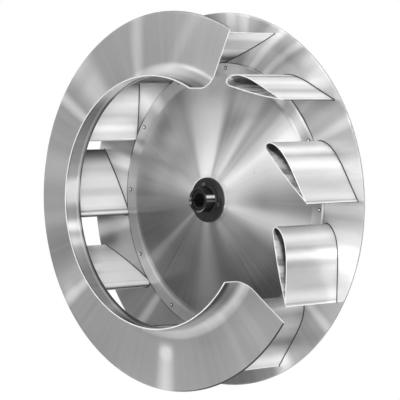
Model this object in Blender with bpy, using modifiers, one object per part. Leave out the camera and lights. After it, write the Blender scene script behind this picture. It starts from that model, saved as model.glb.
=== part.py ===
"""Single-inlet blower wheel with hollow airfoil blades, its front shroud cut away over a sector.

Every piece is modelled about one wheel axis: x to the right, y up and z forward to the inlet,
as someone facing the inlet sees it. An empty then turns that axis to world -Y, with +Z up.
Angles run clockwise from the top, seen from the inlet.
"""
import math

import bmesh
import bpy
from mathutils import Matrix, Vector

# Wheel, in metres. The back plate's front face and the hub's rear face share the plane z = 0.
WHEEL_RADIUS = 0.381
TOUCH_GAP = 0.0003
ROUND_STEPS = 96

# Back plate, a flat ring
PLATE_THICKNESS = 0.003
PLATE_HOLE_RADIUS = 0.259

# Centre disc: a riveted rim, a shallow cone and a flat middle that carries the hub
SHEET = 0.0025
DISC_RADIUS = 0.2785
DISC_CONE_FOOT = 0.253
DISC_MIDDLE_RADIUS = 0.053

# Hub, a casting with one flange, and the steel bushing in it
BARREL_RADIUS = 0.025
BARREL_LENGTH = 0.0716
FLANGE_RADIUS = 0.0472
FLANGE_FRONT = 0.0453
FLANGE_THICKNESS = 0.0055
BUSHING_RADIUS = 0.0208
BUSHING_LENGTH = 0.0671
BORE_RADIUS = 0.0143
MOUTH_CHAMFER = 0.0027
KEYWAY_WIDTH = 0.0064
KEYWAY_DEPTH = 0.0032
KEYWAY_ANGLE = 270.0

# Front shroud: a flat ring that turns through a quarter bend into the inlet throat
BLADE_SPAN = 0.1475
BEND_RADIUS = 0.0396
THROAT_RADIUS = 0.2519
LIP_HEIGHT = 0.2057
BEND_STEPS = 9
CUT_FROM = 28.8
CUT_TO = 128.4

# Blades: a folded sheet section from a sharp trailing edge to a round nose
BLADE_COUNT = 11
BLADE_SHEET = 0.002
TRAILING_RADIUS = 0.3658
FIRST_TRAILING_ANGLE = 26.22
CHORD_LEAN = 45.5
CHORD = 0.1556
NOSE_HEIGHT = 0.0046
CREST = (0.1162, 0.0253)
CREST_HANDLE = 0.0285
TAIL_HANDLE = (0.0572, 0.0143)
BELLY = (0.1429, -0.0024)
BELLY_HANDLES = ((0.0991, -0.0048), (0.0457, -0.0046))
ROUND_HANDLE = 0.5523

# Rivets through the disc's rim and the back plate
RIVET_COUNT = 12
FIRST_RIVET_ANGLE = 5.43
RIVET_CIRCLE = 0.269
RIVET_SHANK = 0.0024
RIVET_HEAD = 0.0043
RIVET_HEAD_HEIGHT = 0.0026
RIVET_STEPS = 12

# Bolts through the hub's flange and the disc
BOLT_COUNT = 3
FIRST_BOLT_ANGLE = 108.5
BOLT_CIRCLE = 0.0316
BOLT_SHANK = 0.003
BOLT_HEAD = 0.0049
BOLT_HEAD_HEIGHT = 0.004
NUT_HEIGHT = 0.005

# Planes that follow from the sizes above
DISC_RIM_MIDDLE = TOUCH_GAP + SHEET / 2
DISC_RIM_FRONT = TOUCH_GAP + SHEET
FLANGE_REAR = FLANGE_FRONT - FLANGE_THICKNESS
DISC_CENTRE_FRONT = FLANGE_REAR - TOUCH_GAP
DISC_CENTRE_MIDDLE = DISC_CENTRE_FRONT - SHEET / 2
SHROUD_REAR = BLADE_SPAN + 2 * TOUCH_GAP
SHROUD_MIDDLE = SHROUD_REAR + SHEET / 2


def clear_scene():
    for obj in list(bpy.data.objects):
        bpy.data.objects.remove(obj, do_unlink=True)


def new_collection(name):
    collection = bpy.data.collections.new(name)
    bpy.context.scene.collection.children.link(collection)
    return collection


def new_material(name, colour, metallic, roughness):
    material = bpy.data.materials.new(name)
    material.use_nodes = True
    shader = material.node_tree.nodes["Principled BSDF"]
    shader.inputs["Base Color"].default_value = (*colour, 1.0)
    shader.inputs["Metallic"].default_value = metallic
    shader.inputs["Roughness"].default_value = roughness
    return material


def on_wheel(radius, degrees, height=0.0):
    """The point at this radius, clockwise angle and height in front of the back plate."""
    angle = math.radians(degrees)
    return Vector((radius * math.sin(angle), radius * math.cos(angle), height))


def add_piece(name, data, material):
    """A named object of the wheel, carried by its axis."""
    piece = bpy.data.objects.new(name, data)
    parts.objects.link(piece)
    piece.parent = axis
    if not data.materials:
        data.materials.append(material)
    return piece


def profile_mesh(name, points, closed):
    """A mesh of edges through (radius, height) points, in the XZ plane."""
    count = len(points)
    edges = [(i, i + 1) for i in range(count - 1)]
    if closed:
        edges.append((count - 1, 0))
    mesh = bpy.data.meshes.new(name)
    mesh.from_pydata([(r, 0.0, z) for r, z in points], edges, [])
    return mesh


def add_screw(piece, steps, merge=False):
    screw = piece.modifiers.new("turned", "SCREW")
    screw.axis = "Z"
    screw.steps = steps
    screw.render_steps = steps
    screw.use_smooth_shade = True
    screw.use_merge_vertices = merge
    screw.merge_threshold = 0.00001
    return screw


def turned_sheet(name, points, thickness, material):
    """An open profile of a sheet's middle, turned once round the axis and thickened."""
    piece = add_piece(name, profile_mesh(name, points, False), material)
    add_screw(piece, ROUND_STEPS, merge=True)
    shell = piece.modifiers.new("thickness", "SOLIDIFY")
    shell.thickness = thickness
    shell.offset = 0.0
    shell.use_even_offset = True
    return piece


def turned_solid(name, points, steps, material):
    """A profile that runs down its outer side, turned into a solid."""
    closed = all(r > 0.0 for r, _ in points)
    piece = add_piece(name, profile_mesh(name, points, closed), material)
    add_screw(piece, steps, merge=True)
    return piece


def add_boolean(piece, other, operation="DIFFERENCE"):
    cut = piece.modifiers.new(other.name, "BOOLEAN")
    cut.operation = operation
    cut.solver = "EXACT"
    cut.object = other


def add_cutter(name, mesh):
    cutter = bpy.data.objects.new(name, mesh)
    cutters.objects.link(cutter)
    cutter.parent = axis
    cutter.hide_render = True
    cutter.display_type = "WIRE"
    return cutter


def drills(name, centres, radius, low, high, sides=16):
    """One cutter holding a straight drill at each centre."""
    bm = bmesh.new()
    for centre in centres:
        place = Matrix.Translation((centre.x, centre.y, (low + high) / 2))
        bmesh.ops.create_cone(bm, cap_ends=True, segments=sides, radius1=radius, radius2=radius,
                              depth=high - low, matrix=place)
    mesh = bpy.data.meshes.new(name)
    bm.to_mesh(mesh)
    bm.free()
    return add_cutter(name, mesh)


def prism(name, outline, low, high):
    """A cutter with this outline, between two heights."""
    bm = bmesh.new()
    base = bm.faces.new([bm.verts.new((x, y, low)) for x, y in outline])
    raised = bmesh.ops.extrude_face_region(bm, geom=[base])["geom"]
    tops = [item for item in raised if isinstance(item, bmesh.types.BMVert)]
    bmesh.ops.translate(bm, verts=tops, vec=(0.0, 0.0, high - low))
    bmesh.ops.recalc_face_normals(bm, faces=bm.faces)
    mesh = bpy.data.meshes.new(name)
    bm.to_mesh(mesh)
    bm.free()
    return add_cutter(name, mesh)


def ring_of_points(count, first, radius):
    return [on_wheel(radius, first + 360.0 * i / count) for i in range(count)]


def build_back_plate(rivet_holes):
    middle = -PLATE_THICKNESS / 2
    plate = turned_sheet("back_plate", [(WHEEL_RADIUS, middle), (PLATE_HOLE_RADIUS, middle)],
                         PLATE_THICKNESS, steel)
    add_boolean(plate, rivet_holes)


def build_centre_disc(rivet_holes, bolt_holes):
    profile = [(DISC_RADIUS, DISC_RIM_MIDDLE), (DISC_CONE_FOOT, DISC_RIM_MIDDLE),
               (DISC_MIDDLE_RADIUS, DISC_CENTRE_MIDDLE), (BARREL_RADIUS + TOUCH_GAP, DISC_CENTRE_MIDDLE)]
    disc = turned_sheet("centre_disc", profile, SHEET, disc_steel)
    add_boolean(disc, rivet_holes)
    add_boolean(disc, bolt_holes)


def build_front_shroud():
    bend_radius_at = THROAT_RADIUS + BEND_RADIUS
    bend_height_at = SHROUD_MIDDLE + BEND_RADIUS
    profile = [(WHEEL_RADIUS, SHROUD_MIDDLE)]
    for i in range(BEND_STEPS + 1):
        turn = math.pi / 2 * i / BEND_STEPS
        profile.append((bend_radius_at - BEND_RADIUS * math.sin(turn),
                        bend_height_at - BEND_RADIUS * math.cos(turn)))
    profile.append((THROAT_RADIUS, LIP_HEIGHT))
    shroud = turned_sheet("front_shroud", profile, SHEET, steel)
    reach = 2 * WHEEL_RADIUS
    middle = (CUT_FROM + CUT_TO) / 2
    wedge = [on_wheel(0.0, 0.0)] + [on_wheel(reach, angle) for angle in (CUT_TO, middle, CUT_FROM)]
    sector = prism("shroud_cut", [point.xy for point in wedge], BLADE_SPAN / 2, 2 * LIP_HEIGHT)
    add_boolean(shroud, sector)


def bezier(start, handle_1, handle_2, end, steps):
    """Points along one cubic curve, without its end."""
    found = []
    for i in range(steps):
        t = i / steps
        u = 1.0 - t
        weights = (u ** 3, 3 * u * u * t, 3 * u * t * t, t ** 3)
        corners = (start, handle_1, handle_2, end)
        found.append(Vector([sum(w * c[k] for w, c in zip(weights, corners)) for k in (0, 1)]))
    return found


def blade_outline():
    """The section's outside as (distance from the trailing edge, height) points: up over the crest,
    round the nose and back along the belly."""
    nose = (CHORD, NOSE_HEIGHT)
    rise = CREST[1] - NOSE_HEIGHT
    reach = CHORD - CREST[0]
    drop = NOSE_HEIGHT - BELLY[1]
    upper = bezier((0.0, 0.0), TAIL_HANDLE, (CREST[0] - CREST_HANDLE, CREST[1]), CREST, 7)
    front = bezier(CREST, (CREST[0] + ROUND_HANDLE * reach, CREST[1]),
                   (CHORD, NOSE_HEIGHT + ROUND_HANDLE * rise), nose, 8)
    under = bezier(nose, (CHORD, NOSE_HEIGHT - ROUND_HANDLE * drop),
                   (BELLY[0] + ROUND_HANDLE * (CHORD - BELLY[0]), BELLY[1]), BELLY, 5)
    lower = bezier(BELLY, BELLY_HANDLES[0], BELLY_HANDLES[1], (0.0, 0.0), 6)
    return upper + front + under + lower


def inset(points, depth):
    """The inside of a folded sheet: each point moved in along its normal, and the tail left solid
    from where the two walls meet."""
    count = len(points)
    moved = []
    for i in range(1, count):
        along = (points[(i + 1) % count] - points[i - 1]).normalized()
        moved.append(points[i] + depth * Vector((along.y, -along.x)))
    top = max(range(len(moved)), key=lambda i: moved[i].x)
    upper, lower = moved[:top], moved[top:]
    room = [(a, b) for a in upper for b in lower if abs(a.x - b.x) < CHORD / 12 and a.y - b.y > depth]
    start = min(min(a.x, b.x) for a, b in room)
    kept = [p for p in upper if p.x >= start] + [p for p in lower if p.x >= start]
    return kept


def spline_through(curve, points):
    spline = curve.splines.new("POLY")
    spline.points.add(len(points) - 1)
    for place, point in zip(spline.points, points):
        place.co = (-point.x, point.y, 0.0, 1.0)
    spline.use_cyclic_u = True
    spline.use_smooth = True


def blade_curve():
    curve = bpy.data.curves.new("blade_section", "CURVE")
    curve.dimensions = "2D"
    curve.fill_mode = "BOTH"
    curve.extrude = BLADE_SPAN / 2
    outside = blade_outline()
    spline_through(curve, outside)
    spline_through(curve, inset(outside, BLADE_SHEET))
    return curve


def build_blades():
    curve = blade_curve()
    for i in range(BLADE_COUNT):
        angle = FIRST_TRAILING_ANGLE + 360.0 * i / BLADE_COUNT
        blade = add_piece(f"blade_{i + 1:02d}", curve, steel)
        blade.location = on_wheel(TRAILING_RADIUS, angle, TOUCH_GAP + BLADE_SPAN / 2)
        blade.rotation_euler.z = math.radians(90.0 - CHORD_LEAN - angle)


def build_hub(bolt_holes):
    inner = BUSHING_RADIUS + TOUCH_GAP
    profile = [(inner + MOUTH_CHAMFER, BARREL_LENGTH), (BARREL_RADIUS, BARREL_LENGTH),
               (BARREL_RADIUS, FLANGE_FRONT), (FLANGE_RADIUS, FLANGE_FRONT), (FLANGE_RADIUS, FLANGE_REAR),
               (BARREL_RADIUS, FLANGE_REAR), (BARREL_RADIUS, 0.0), (inner, 0.0),
               (inner, BARREL_LENGTH - MOUTH_CHAMFER)]
    hub = turned_solid("hub", profile, 64, iron)
    add_boolean(hub, bolt_holes)


def build_bushing():
    profile = [(BORE_RADIUS, BUSHING_LENGTH), (BUSHING_RADIUS, BUSHING_LENGTH),
               (BUSHING_RADIUS, 0.0), (BORE_RADIUS, 0.0)]
    bushing = turned_solid("shaft_bushing", profile, 48, iron)
    half = KEYWAY_WIDTH / 2
    reach = BORE_RADIUS + KEYWAY_DEPTH
    slot = prism("keyway", [(-half, 0.0), (half, 0.0), (half, reach), (-half, reach)],
                 -BUSHING_LENGTH, 2 * BUSHING_LENGTH)
    slot.rotation_euler.z = -math.radians(KEYWAY_ANGLE)
    add_boolean(bushing, slot)


def dome(radius, height, base, steps, sign):
    """A dished head from its crown to its edge, as (radius, height) points."""
    turns = [math.pi / 2 * i / steps for i in range(steps + 1)]
    return [(radius * math.sin(t), base + sign * height * math.cos(t)) for t in turns]


def build_rivets(places):
    front = DISC_RIM_FRONT + TOUCH_GAP
    rear = -PLATE_THICKNESS - TOUCH_GAP
    head = dome(RIVET_HEAD, RIVET_HEAD_HEIGHT, front, 3, 1.0)
    tail = dome(RIVET_HEAD, RIVET_HEAD_HEIGHT / 2, rear, 2, -1.0)
    profile = head + [(RIVET_SHANK, front), (RIVET_SHANK, rear)] + tail[::-1]
    first = turned_solid("rivet_01", profile, RIVET_STEPS, fastener_steel)
    first.location = places[0]
    for i, place in enumerate(places[1:], start=2):
        rivet = add_piece(f"rivet_{i:02d}", first.data, fastener_steel)
        add_screw(rivet, RIVET_STEPS, merge=True)
        rivet.location = place


def bolt_mesh():
    """A bolt with its nut: two hexagons on one shank, closed as a single body."""
    front = FLANGE_FRONT + TOUCH_GAP
    rear = DISC_CENTRE_MIDDLE - SHEET / 2 - TOUCH_GAP
    levels = [(BOLT_HEAD, front + BOLT_HEAD_HEIGHT), (BOLT_HEAD, front), (BOLT_SHANK, front),
              (BOLT_SHANK, rear), (BOLT_HEAD, rear), (BOLT_HEAD, rear - NUT_HEIGHT)]
    bm = bmesh.new()
    rings = []
    for radius, height in levels:
        turns = [math.tau * i / 6 for i in range(6)]
        rings.append([bm.verts.new((radius * math.cos(t), radius * math.sin(t), height)) for t in turns])
    for upper, lower in zip(rings, rings[1:]):
        for i in range(6):
            bm.faces.new((lower[i], lower[(i + 1) % 6], upper[(i + 1) % 6], upper[i]))
    bm.faces.new(rings[0])
    bm.faces.new(rings[-1][::-1])
    mesh = bpy.data.meshes.new("hub_bolt")
    bm.to_mesh(mesh)
    bm.free()
    return mesh


def build_bolts(places):
    mesh = bolt_mesh()
    for i, place in enumerate(places, start=1):
        bolt = add_piece(f"hub_bolt_{i}", mesh, fastener_steel)
        bolt.location = place


clear_scene()
parts = new_collection("blower_wheel")
cutters = new_collection("cutters")
axis = bpy.data.objects.new("wheel_axis", None)
axis.rotation_euler.x = math.pi / 2
parts.objects.link(axis)

steel = new_material("brushed_steel", (0.62, 0.62, 0.62), 1.0, 0.35)
disc_steel = new_material("disc_steel", (0.55, 0.55, 0.55), 1.0, 0.35)
iron = new_material("black_iron", (0.035, 0.035, 0.037), 0.4, 0.4)
fastener_steel = new_material("fastener_steel", (0.5, 0.5, 0.5), 1.0, 0.35)

rivet_places = ring_of_points(RIVET_COUNT, FIRST_RIVET_ANGLE, RIVET_CIRCLE)
bolt_places = ring_of_points(BOLT_COUNT, FIRST_BOLT_ANGLE, BOLT_CIRCLE)
rivet_drills = drills("rivet_drills", rivet_places, RIVET_SHANK + TOUCH_GAP,
                      -2 * PLATE_THICKNESS, 2 * DISC_RIM_FRONT)
bolt_drills = drills("bolt_drills", bolt_places, BOLT_SHANK + TOUCH_GAP,
                     DISC_CENTRE_MIDDLE / 2, BARREL_LENGTH)

build_back_plate(rivet_drills)
build_centre_disc(rivet_drills, bolt_drills)
build_front_shroud()
build_blades()
build_hub(bolt_drills)
build_bushing()
build_rivets(rivet_places)
build_bolts(bolt_places)
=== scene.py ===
"""Looks of the blower wheel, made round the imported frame.

The wheel's axis is world Y, its inlet faces -Y and +Z is up. Angles run clockwise from the top as
seen from the inlet, and heights run from the back plate's front face towards the inlet.
"""

import math

import bmesh
import bpy
from mathutils import Matrix, Vector


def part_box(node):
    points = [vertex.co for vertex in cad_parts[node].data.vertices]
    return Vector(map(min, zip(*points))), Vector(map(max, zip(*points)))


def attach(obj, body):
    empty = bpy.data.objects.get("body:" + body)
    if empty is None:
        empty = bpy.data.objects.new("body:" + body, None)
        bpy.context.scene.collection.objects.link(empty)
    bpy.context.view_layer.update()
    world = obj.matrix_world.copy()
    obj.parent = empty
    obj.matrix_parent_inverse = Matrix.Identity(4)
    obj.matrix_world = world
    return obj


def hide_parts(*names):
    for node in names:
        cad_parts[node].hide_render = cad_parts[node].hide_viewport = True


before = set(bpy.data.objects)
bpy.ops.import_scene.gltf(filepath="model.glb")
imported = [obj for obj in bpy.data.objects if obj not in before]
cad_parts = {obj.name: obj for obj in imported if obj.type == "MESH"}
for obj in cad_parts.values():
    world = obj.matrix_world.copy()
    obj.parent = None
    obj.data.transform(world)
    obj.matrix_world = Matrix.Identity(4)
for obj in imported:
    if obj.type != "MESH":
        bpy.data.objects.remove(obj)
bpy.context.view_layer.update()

# Sizes that the frame gives, in metres; the flange shows a little smaller than its solid
FLANGE_TRIM = 0.0016
WHEEL_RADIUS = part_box("back_plate")[1].x
PLATE_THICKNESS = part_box("back_plate")[1].y
DISC_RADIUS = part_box("centre_disc")[1].x
LIP_HEIGHT = -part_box("front_shroud")[0].y
SHROUD_REAR = -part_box("front_shroud")[1].y
BARREL_LENGTH = -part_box("hub")[0].y
FLANGE_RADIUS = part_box("hub")[1].x - FLANGE_TRIM
BUSHING_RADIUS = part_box("shaft_bushing")[1].x
BUSHING_LENGTH = -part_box("shaft_bushing")[0].y

# Meshes: a corner's largest share of a run, and the gaps that make a run long
MERGE_GAP = 0.000002
CORNER_SHARE = 0.49
LONG_RUN = 5
HUB_SUPPORT_GAP = 0.0003
BUSHING_SUPPORT_GAP = 0.0002

# Sheets
TOUCH_GAP = 0.0003
SHEET = 0.0025
SHEET_EDGE = 0.0006
EDGE_POINTS = 4
END_STEPS = 2
SWEEP_STEPS = 360
SHEET_PITCH = 0.006
DISC_PITCH = 0.008
DISC_BEND_STEPS = 8
PLATE_HOLE_RADIUS = 0.259
CONE_FOOT = 0.253
CONE_FOOT_BEND = 0.03
MIDDLE_RADIUS = 0.053
MIDDLE_BEND = 0.012
BEND_RADIUS = 0.0396
BEND_STEPS = 18
THROAT_RADIUS = 0.2519
CUT_FROM = 28.8
CUT_TO = 128.4
CUT_RADIUS = 0.253
CUT_CHAMFER = 0.0003
BRIGHT_EDGE = 0.0003
WAVE_HEIGHT = 0.00018
# Waves of the sheets: count round the wheel, start, change a metre outwards, share of the height
SHEET_WAVES = [(3, 0.6, 0.0, 1.0), (5, 2.1, 9.0, 0.7), (8, 4.0, -21.0, 0.5)]

# Hub
HUB_STEPS = 128
BARREL_RADIUS = 0.025
FLANGE_FRONT = 0.0453
FLANGE_THICKNESS = 0.0055
FLANGE_REAR = FLANGE_FRONT - FLANGE_THICKNESS
BORE_RADIUS = 0.0143
MOUTH_CHAMFER = 0.0027
KEYWAY_WIDTH = 0.0064
KEYWAY_DEPTH = 0.0032
KEYWAY_ANGLE = 270.0
KEYWAY_SHARES = (-0.74, -0.5, -0.25, 0.0, 0.25, 0.5, 0.74)
BORE_STEPS = 90

# Blades: distance from the trailing edge along the chord, and height over it
BLADE_COUNT = 11
BLADE_SPAN = SHROUD_REAR - 2 * TOUCH_GAP
BLADE_SHEET = 0.002
TRAILING_RADIUS = 0.3658
FIRST_TRAILING_ANGLE = 26.22
CHORD_LEAN = 45.5
CHORD = 0.1556
NOSE_HEIGHT = 0.0046
CREST = (0.1162, 0.0253)
CREST_HANDLE = 0.0285
TAIL_HANDLE = (0.0572, 0.0143)
BELLY = (0.1429, -0.0024)
BELLY_HANDLES = ((0.0991, -0.0048), (0.0457, -0.0046))
ROUND_HANDLE = 0.5523
UPPER_STEPS = 44
FRONT_STEPS = 26
UNDER_STEPS = 12
LOWER_STEPS = 40
SPAN_STEPS = 16
HEM_WIDTH = 0.0046
HEM_HEIGHT = 0.001
HEM_DEPTH = 0.0007
HEM_SHARES = (0.0, 0.5, 0.94)
WALL_REACH = CHORD / 60
WALL_GAP = BLADE_SHEET / 4
OPEN_BLADES = (2, 3, 4)
# Blades whose hem end face gets painted shade
HEM_SHADE_BLADES = (2, 3, 5)
OUTSIDE, EDGE, INSIDE, HEM_SHADE = range(4)
WELD_SIZE = 0.0018
WELD_PITCH = 0.0012
WELD_RIPPLE = 0.0034
RIPPLE_SHARE = 0.16
BEAD_SECTION = [(-0.3, 1.0), (0.22, 0.72), (0.5, 0.5), (0.74, 0.24), (1.05, -0.1), (-0.3, -0.1)]

# Rivets and bolts
RIVET_COUNT = 12
FIRST_RIVET_ANGLE = 5.43
RIVET_CIRCLE = 0.269
RIVET_HEAD = 0.0043
RIVET_HEAD_HEIGHT = 0.0026
RIVET_CROWN = 0.0027
RIVET_FLANGE_HEIGHT = 0.0007
RIVET_CHAMFER = 0.0003
RIVET_SINK = 0.0002
RIVET_STEPS = 32
CROWN_STEPS = 7
DOME_STEPS = 6
BOLT_COUNT = 3
FIRST_BOLT_ANGLE = 108.5
BOLT_CIRCLE = 0.0316
BOLT_HEAD = 0.0049
BOLT_HEAD_HEIGHT = 0.004
NUT_HEIGHT = 0.004
BOLT_END = 0.005
BOLT_END_RADIUS = BOLT_HEAD * 0.6
HEXAGON_CHAMFER = 0.16
HEXAGON_TOP = 0.9
HEAD_TURN = 17.0
NUT_TURN = 11.0
WASHER = 0.0008
WASHER_RADIUS = BOLT_HEAD * 1.12
WASHER_EDGE = 0.0003
WASHER_STEPS = 36

# Camera: the photograph's view
CAMERA_AZIMUTH = 44.098
CAMERA_ELEVATION = 0.729
CAMERA_DISTANCE = 4.638
CAMERA_AIM = (-0.0324, -0.032, -0.0001)
CAMERA_ROLL = -2.003
CAMERA_LENS = 203.69

# Studio. The room's grey: from and to over the height looked at, and the tone at each.
# Each soft box: name, azimuth, elevation, side in metres, watts
ROOM = (-0.35, 0.45, 0.1, 0.5)
FLOOR_RADIUS = 2.6
FLOOR_SIDES = 96
FLOOR_LEVEL = -0.9
FLOOR_COLOUR = (0.82, 0.82, 0.82, 1.0)
FLOOR_ROUGHNESS = 0.8
SOFTBOX_DISTANCE = 3.0
SOFTBOXES = [
    ("right_high", 90.0, 30.0, 1.25, 48.0),
    ("overhead", 90.0, 75.0, 1.4, 28.0),
    ("front_low", 15.0, -15.0, 0.65, 32.0),
    ("front_right", 15.0, 15.0, 0.65, 14.0),
    ("right_low", 38.0, 2.0, 0.65, 22.0),
    ("front_left", -15.0, 15.0, 0.65, 7.0),
    ("left_high", -65.0, 25.0, 3.0, 6.0),
    ("front_high", -30.0, 30.0, 0.65, 6.0),
]

# Textures: ranges of noise that are spread over a tone, and noise with fine detail
WIDE = (0.2, 0.8)
USUAL = (0.25, 0.75)
FINE_NOISE = (3.0, 0.6)

# Turned sheets
TURNED_METALLIC = 0.75
TURNED_ROUGHNESS = 0.3
TURNED_ANISOTROPY = 0.8
TURNED_DARKEST = 0.05
QUARTER_TURN = 0.25
STREAK_REACH = 1.85
LEAN_RADIUS = 0.33
RING_SCALE = 700.0
RING_GAIN = 0.008
RAY_SCALE = 22.0
CLOUD_SCALE = 9.0
CLOUD_GAIN = 0.015
DRIFT_SCALE = 14.0
DRIFT = (0.3, 0.7, 0.2, 1.6)
SPECK_SCALE = 9.0
SPECK_SIZE = 0.0017
SPECK_GAIN = -0.35

# Line where the throat turns away: its lowest height, its climb and the climb's power
TURN_LEVEL = 0.1616
TURN_CLIMB = 0.0275
TURN_POWER = 1.35

# Blade sheets, outside and inside; room is from and to along the chord, and its share at each
BLADE_ROUGHNESS = 0.32
BLADE_DARKEST = 0.04
GRAIN_SCALE = (420.0, 6.0, 420.0)
GRAIN_GAIN = 0.02
GRAIN_DEPTH = 0.00002
SHEEN_SCALE = (38.0, 11.0, 38.0)
SHEEN_GAIN = 0.05
MOTTLE_SCALE = (70.0, 25.0, 70.0)
MOTTLE = (0.36, 0.58, 0.4, 1.0)
TAIL_ROOM = (0.012, 0.08, 0.2, 1.0)
NOSE_ROOM = (0.122, CHORD, 1.0, 0.05)
CROWN_REACH = (0.1, 0.118)
BELLY_REACH = (0.004, 0.015)

# Castings and small parts
IRON_DARKEST = 0.003
PIT_SCALE = 900.0
PIT_DEPTH = 0.0001
CASTING_SCALE = 90.0
HEIGHT_FADE = 0.0006
RADIUS_FADE = 0.0004
PLAIN_DEPTH = 0.00005

# Painted light on the turned sheets: radii from and to, fade, streaks as angle, half width, gain; tone
# and lean, if any. Streaks with a positive gain are painted highlights and reflections, and those with a
# negative gain are painted shade
DISC_PAINTED_LIGHT = [
    (0.0, 0.251, 0.004, [
        (354, 12, 1.0), (5, 5, 0.28), (50, 42, 0.18), (20, 5, 0.06), (30, 4, 0.12), (41, 6, 0.05),
        (55, 7, 0.1), (76, 12, 0.12), (112, 9, 0.36), (130, 6, 0.03), (190, 9, 0.2), (228, 6, -0.04),
        (239, 3, 0.14), (300, 18, 0.37), (335, 18, 0.3),
    ]),
    (0.08, 0.251, 0.03, [
        (20, 2, -0.04), (26, 1.5, -0.04), (32, 2, 0.06), (38, 2, -0.06), (44, 2, -0.04), (57, 2, 0.06),
        (92, 4, -0.02), (102, 3, 0.04), (212, 8, -0.03), (316, 10, -0.1),
    ]),
    (0.0, 0.1, 0.045, [
        (5, 50, 0.14), (92, 11, 0.34), (130, 8, 0.14), (150, 9, 0.18), (300, 17, 0.1),
    ], 0.05, 0.0),
    # Painted highlight: a bright halo round the hub
    (0.0, 0.0515, 0.0015, [(330, 45, 0.35), (70, 45, 0.5)]),
    (0.19, 0.251, 0.03, [
        (20, 11, 0.34), (68, 9, 0.14), (357, 12, -0.42), (284, 10, -0.12), (312, 11, -0.26),
        (140, 12, -0.06), (120, 6, -0.08),
    ]),
    (0.246, 0.254, 0.003, [(45, 14, -0.1)]),
    (0.243, 0.256, 0.004, [(230, 24, 0.26)]),
    (0.251, 0.4, 0.004, [
        (8, 9, 0.56), (40, 4, 0.4), (56, 4, 0.34), (70, 5, -0.25), (90, 8, -0.22), (100, 4, 0.25),
        (212, 10, 0.08), (228, 18, 0.18), (242, 4, 0.08), (269, 6, -0.16), (295, 2, 0.36), (319, 3, 0.3),
        (335, 10, 0.3), (348, 10, 0.3),
    ], 0.28, 0.0),
    # Painted highlight along the disc's rim edge
    (0.2745, 0.3, 0.0008, [(97, 10, 0.5)]),
]

PLATE_PAINTED_LIGHT = [
    (0.2, 0.4, 0.004, [
        (16.5, 2, -0.1), (21.5, 2, 0.15), (24.6, 1.4, 0.38), (32.4, 1.4, 0.36), (38.5, 2.5, 0.32),
        (43, 3, 0.12),
    ], 0.0, 95.0),
    (0.2, 0.4, 0.004, [
        (15, 10, 0.1), (48, 2.5, 0.08), (56, 2, -0.06), (67, 1.5, 0.2), (74, 3, -0.06), (85, 4, 0.14),
        (94, 2, 0.24), (104, 4, 0.06), (112, 4, 0.34), (118, 6, 0.12), (127, 7, 0.16), (133, 1.4, 0.32),
        (140, 3, -0.05), (155, 3, 0.5), (178, 14, -0.28), (212, 5, -0.02), (224.5, 1.5, 0.45),
        (238, 5, -0.05), (250, 8, 0.14), (261, 2, 0.45), (277, 4, 0.14), (286.5, 2.5, 0.6),
        (293, 3, -0.08), (301, 6, -0.28), (318, 7, 0.36), (334, 8, 0.06), (350, 8, -0.3),
    ]),
    (0.338, 0.4, 0.008, [(7.2, 1.4, 0.5), (9.5, 6, 0.32), (13.2, 1.4, 0.55)], 0.0, -15.0),
    (0.27, 0.333, 0.01, [(36, 10, 0.2), (47.5, 3, -0.24)]),
    (0.33, 0.4, 0.02, [(256, 2.5, -0.3), (266.5, 2.5, -0.34), (48, 5, 0.2)]),
    # Painted shadow: a dark ring on the plate just outside the disc's edge
    (0.2785, 0.2832, 0.0008, [(270, 50, -0.5)]),
    (0.2785, 0.2805, 0.0008, [(45, 42, -0.5)]),
]

SHROUD_PAINTED_LIGHT = [
    (0.262, 0.4, 0.006, [
        (12, 14, -0.03), (139, 2.5, 0.06), (150, 2, 0.05), (163, 6, -0.05), (237.5, 1.7, 0.38),
        (242, 4, 0.14), (255, 6, -0.12), (265, 2, 0.06), (283, 4, 0.12), (306, 1.7, 0.38),
        (318, 5, 0.34),
    ]),
    (0.262, 0.4, 0.006, [(346, 2.5, 0.26)], 0.0, 44.0),
    (0.262, 0.4, 0.006, [(9.5, 2.5, 0.08)], 0.0, 95.0),
    (0.289, 0.4, 0.012, [(185, 3, 0.42)]),
    (0.296, 0.316, 0.01, [(185, 3, 0.25)]),
    (0.34, 0.37, 0.012, [(239, 3, 0.1), (317, 6, -0.1)]),
    (0.2, 0.276, 0.006, [(0, 12, 0.28), (29, 9, -0.2), (137, 12, -0.14)]),
    (0.2, 0.259, 0.003, [(28, 7, -0.05), (136, 10, -0.14), (190, 12, -0.1), (350, 8, 0.06)]),
    (0.26, 0.278, 0.005, [(17, 13, 0.06)]),
    # Painted shadow along the shroud's outer rim
    (0.3785, 0.4, 0.0005, [(148, 26, -0.6)]),
]

THROAT_PAINTED_LIGHT = [
    (0.2, 0.4, 0.006, [
        (6, 7, -0.35), (178, 10, -0.12), (195, 10, -0.46), (213, 2.5, 0.1), (230, 12, -0.16),
        (252, 2, 0.25), (260, 2.2, 0.5), (267, 3, -0.05), (276, 5, 0.8), (287, 4, 0.08), (337, 9, 0.6),
        (352, 5, 0.15),
    ]),
    (0.2, 0.2514, 0.0004, [(316, 9, -0.14)]),
]

# Painted light and shade in bands round the throat: height, half width, gain; the last over the line
# where it turns away. The outer face has painted shade towards the lip and a painted highlight along its
# crest, the inside has a painted shade band under the lip, and the turn has a painted dark line with a
# painted light strip beyond it
OUTER_LIGHT_AND_SHADE = [(LIP_HEIGHT, 0.024, -0.36), (0.16, 0.01, 0.14)]
THROAT_SHADE_BANDS = [(LIP_HEIGHT - 0.002, 0.0022, -0.25)]
TURN_LIGHT_AND_SHADE = [(0.0, 0.0065, -0.85), (0.0115, 0.005, 0.28)]
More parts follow.
